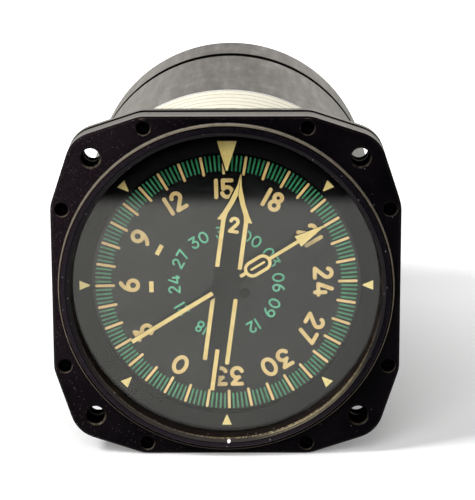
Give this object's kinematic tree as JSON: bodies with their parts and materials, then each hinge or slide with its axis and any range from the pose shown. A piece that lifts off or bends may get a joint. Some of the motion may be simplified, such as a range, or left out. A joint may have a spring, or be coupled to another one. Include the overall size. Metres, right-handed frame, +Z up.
{
  "type": "radio magnetic indicator",
  "caption": "Round flange-mounted aircraft indicator with a turning compass card, a single-bar and a double-bar pointer behind glass, and a rear connector.",
  "frame": {"origin": "centre of the four mounting holes, on the flange's rear face, which seats behind the panel", "axes": "+X to the right seen from the front, +Y back along the case, +Z up; the dial faces -Y"},
  "size_m": [0.0822, 0.1438, 0.0822],
  "materials": {
    "black_paint": "semi-gloss black enamel, worn bright on the edges",
    "seal_rubber": "dull black",
    "black_steel": "blackened",
    "window_glass": "clear flat glass",
    "dial_black": "flat black paint",
    "case_enamel": "worn dark enamel",
    "label_cream": "matt cream",
    "steel": "bright",
    "aluminium": "satin",
    "olive_alloy": "olive plating",
    "insert_blue": "moulded",
    "gold": "gold plate",
    "wire": "wire covering",
    "board": "laminated board",
    "brass": "turned",
    "synchro_alloy": "satin",
    "lamination": "stacked laminations",
    "motor_alloy": "satin",
    "pointer_black": "flat black paint"
  },
  "bodies": {
    "housing": {"bezel": "black_paint", "bezel_gasket": "seal_rubber", "bezel_screws": "black_steel", "glass_retaining_ring": "black_paint", "glass": "window_glass", "glass_seal": "seal_rubber", "mask_ring": "dial_black", "case": "case_enamel", "label_plate": "label_cream", "cover_seal": "seal_rubber", "rear_cover": "case_enamel", "rear_cover_screws": "steel", "cover_standoffs": "aluminium", "connector_shell": "olive_alloy", "connector_insert": "insert_blue", "connector_pins": "gold", "connector_screws": "steel", "connector_leads": "wire", "terminal_board": "board", "front_plate": "aluminium", "front_plate_screws": "steel", "gear_plate": "aluminium", "gear_posts": "brass", "rear_plate": "aluminium", "frame_posts": "brass", "frame_screws": "steel", "synchro_adapter": "aluminium", "card_bearings": "steel", "synchro_bearings": "steel", "small_bearings": "brass", "synchro_end_caps": "synchro_alloy", "pointer_1_synchro_case": "synchro_alloy", "pointer_1_stator": "lamination", "pointer_2_synchro_case": "synchro_alloy", "pointer_2_stator": "lamination", "servo_motor_case": "motor_alloy", "card_synchro_case": "motor_alloy"},
    "card": {"compass_card": "dial_black", "card_hub": "brass", "card_screws": "black_steel", "card_drive_gear": "brass", "card_repeater_gear": "brass", "hub_collar": "steel"},
    "pointer_1_body": {"pointer_1": "pointer_black", "pointer_1_hub": "pointer_black", "pointer_1_shaft": "steel", "pointer_1_rotor": "lamination"},
    "pointer_2_body": {"pointer_2": "pointer_black", "pointer_2_hub": "pointer_black", "pointer_2_shaft": "steel", "pointer_2_rotor": "lamination"},
    "idler": {"idler_shaft": "steel", "idler_gear": "brass", "idler_pinion": "steel"},
    "motor": {"motor_rotor": "steel", "motor_pinion": "steel"},
    "card_synchro": {"card_synchro_rotor": "steel", "card_synchro_gear": "brass"}
  },
  "joints": [
    {"name": "card_turn", "type": "hinge", "parent": "housing", "child": "card", "pos_m": [0, 0, 0], "axis": [0, 1, 0], "continuous": true},
    {"name": "pointer_1_turn", "type": "hinge", "parent": "housing", "child": "pointer_1_body", "pos_m": [0, 0, 0], "axis": [0, 1, 0], "continuous": true},
    {"name": "pointer_2_turn", "type": "hinge", "parent": "housing", "child": "pointer_2_body", "pos_m": [0, 0, 0], "axis": [0, 1, 0], "continuous": true},
    {"name": "idler_turn", "type": "hinge", "parent": "housing", "child": "idler", "pos_m": [0.01905, 0, 0.011], "axis": [0, 1, 0], "continuous": true},
    {"name": "motor_turn", "type": "hinge", "parent": "housing", "child": "motor", "pos_m": [0.02446, 0, 0.00142], "axis": [0, 1, 0], "continuous": true},
    {"name": "card_synchro_turn", "type": "hinge", "parent": "housing", "child": "card_synchro", "pos_m": [0, 0, -0.024], "axis": [0, 1, 0], "continuous": true}
  ],
  "couplings": [
    {"joint": "idler_turn", "follows": "card_turn", "ratio": -4.5},
    {"joint": "motor_turn", "follows": "card_turn", "ratio": 12},
    {"joint": "card_synchro_turn", "follows": "card_turn", "ratio": -1}
  ]
}
